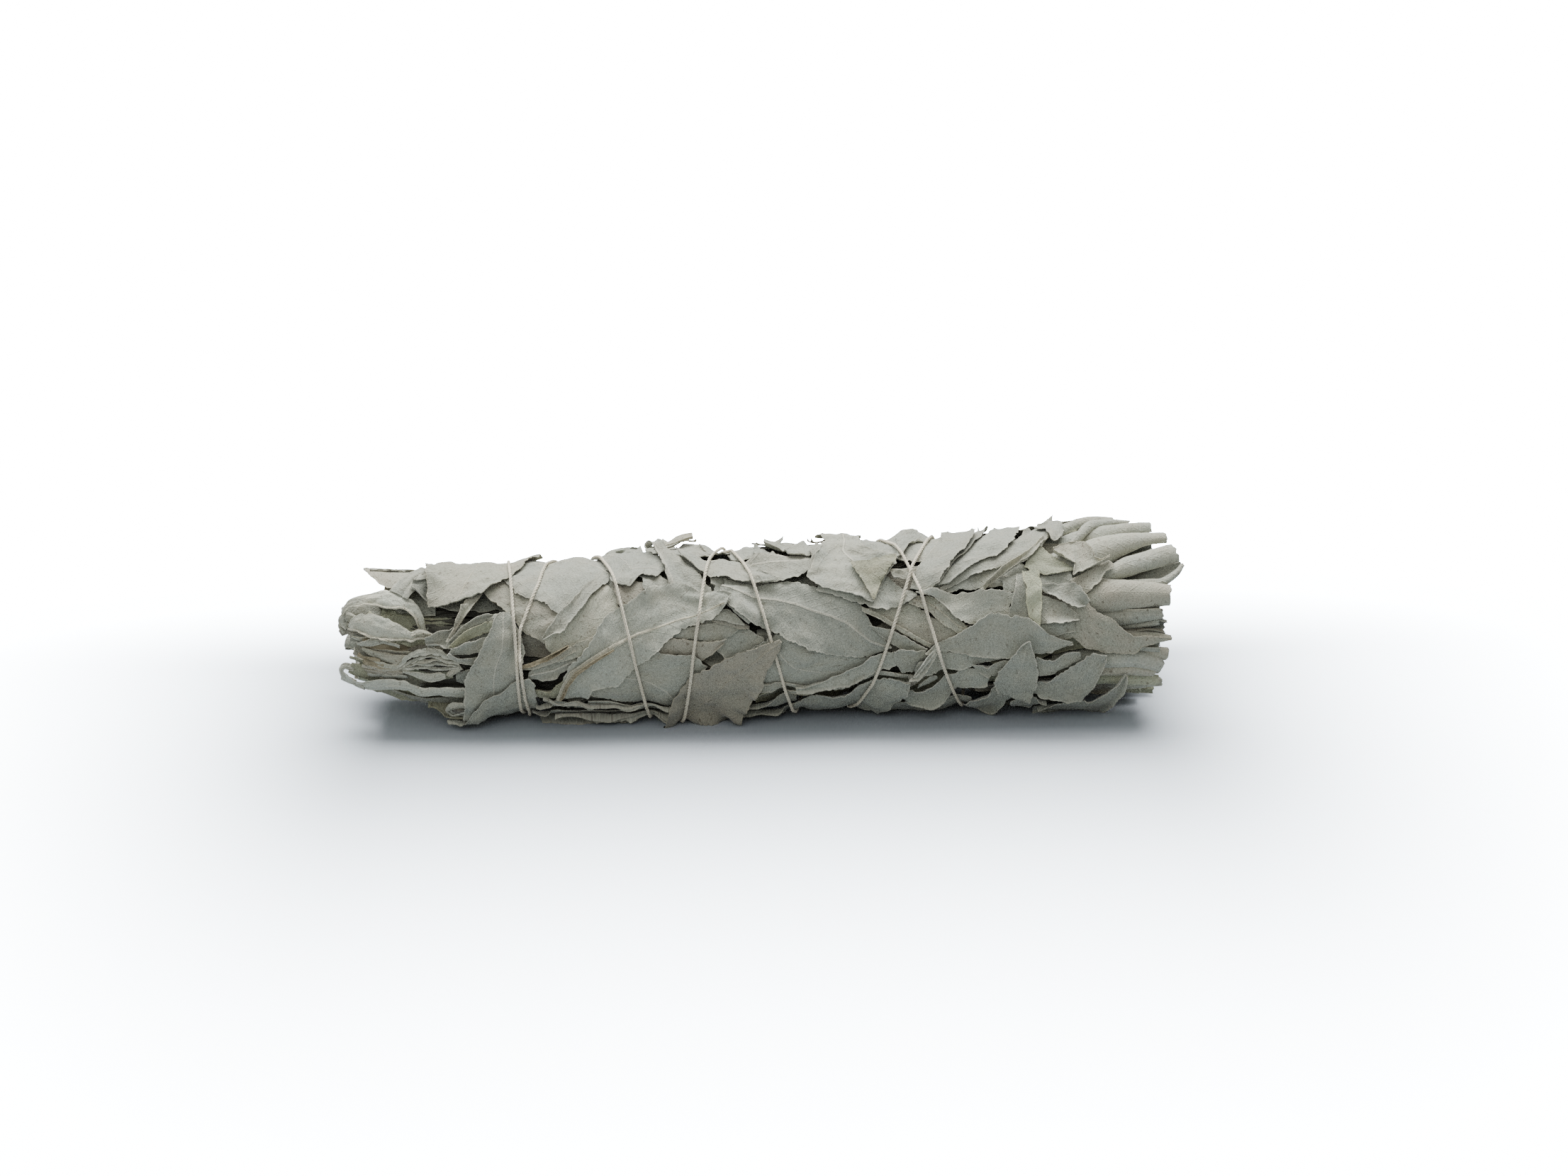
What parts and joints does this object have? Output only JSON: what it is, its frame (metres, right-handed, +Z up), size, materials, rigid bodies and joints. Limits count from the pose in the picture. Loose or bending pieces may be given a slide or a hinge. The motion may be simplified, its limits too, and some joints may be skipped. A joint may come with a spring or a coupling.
{
  "type": "sage smudge stick",
  "caption": "Stick of dried white sage: leafy sprigs wrapped in broad grey-green leaves and bound with slanting turns of cotton thread, lying on its side.",
  "frame": {"origin": "bottom centre of the stick's box, on the surface that it lies on", "axes": "+X along the stick towards its thick end with the leaf tips, -Y towards the side seen in the picture, +Z up"},
  "size_m": [0.2243, 0.0506, 0.0518],
  "materials": {
    "sage_leaf_grey": "dry sage leaf, velvety and matt, blue-grey with pale veins",
    "sage_leaf_tan": "dry sage leaf, velvety and matt, faded to tan with brown specks",
    "sage_leaf_olive": "dry sage leaf and stem, velvety and matt, grey-olive",
    "cotton_thread": "plied undyed cotton thread, matt cream"
  },
  "bodies": {
    "root": {"cotton_thread": "cotton_thread", "sage_sprig_centre": "sage_leaf_olive", "sage_sprig_1": "sage_leaf_olive", "sage_sprig_2": "sage_leaf_olive", "sage_sprig_3": "sage_leaf_olive", "sage_sprig_4": "sage_leaf_olive", "sage_sprig_5": "sage_leaf_olive", "sage_sprig_6": "sage_leaf_olive", "leaf_back_01": "sage_leaf_tan", "leaf_back_02": "sage_leaf_grey", "leaf_back_03": "sage_leaf_grey", "leaf_back_04": "sage_leaf_tan", "leaf_back_05": "sage_leaf_grey", "leaf_back_06": "sage_leaf_grey", "leaf_back_07": "sage_leaf_tan", "leaf_back_08": "sage_leaf_grey", "leaf_back_09": "sage_leaf_grey", "leaf_back_10": "sage_leaf_tan", "leaf_back_11": "sage_leaf_grey", "leaf_back_12": "sage_leaf_grey", "leaf_rest_1": "sage_leaf_grey", "leaf_rest_2": "sage_leaf_grey", "leaf_rest_3": "sage_leaf_grey", "leaf_rest_4": "sage_leaf_grey", "leaf_left_rib": "sage_leaf_grey", "leaf_brown_diamond": "sage_leaf_tan", "leaf_grey_top": "sage_leaf_grey", "leaf_olive": "sage_leaf_olive", "leaf_narrow_strip": "sage_leaf_grey", "leaf_tan_flap": "sage_leaf_tan", "leaf_jagged_top": "sage_leaf_grey", "leaf_light_top": "sage_leaf_grey", "leaf_under_hero": "sage_leaf_grey", "leaf_lower_middle": "sage_leaf_grey", "leaf_middle_hero": "sage_leaf_grey", "leaf_middle_lobe": "sage_leaf_grey", "leaf_long_top": "sage_leaf_grey", "leaf_folded_diamond": "sage_leaf_grey", "leaf_left_hero": "sage_leaf_grey", "leaf_grey_upright": "sage_leaf_grey", "leaf_low_fold": "sage_leaf_grey", "leaf_fan_inner": "sage_leaf_grey", "leaf_fan_third": "sage_leaf_grey", "leaf_fan_second": "sage_leaf_grey", "leaf_fan_outer": "sage_leaf_grey", "leaf_fan_tip": "sage_leaf_tan", "leaf_pink_end": "sage_leaf_tan", "leaf_brown_end": "sage_leaf_tan", "leaf_end_upper": "sage_leaf_grey", "leaf_end_lower": "sage_leaf_grey", "leaf_fold_band": "sage_leaf_grey", "leaf_low_band_left": "sage_leaf_grey", "leaf_low_band_middle": "sage_leaf_grey", "leaf_low_band_right": "sage_leaf_grey", "leaf_right_hero": "sage_leaf_grey", "leaf_low_leaf_end": "sage_leaf_grey", "leaf_upright_point": "sage_leaf_grey", "leaf_brown_tip": "sage_leaf_tan"}
  },
  "joints": []
}
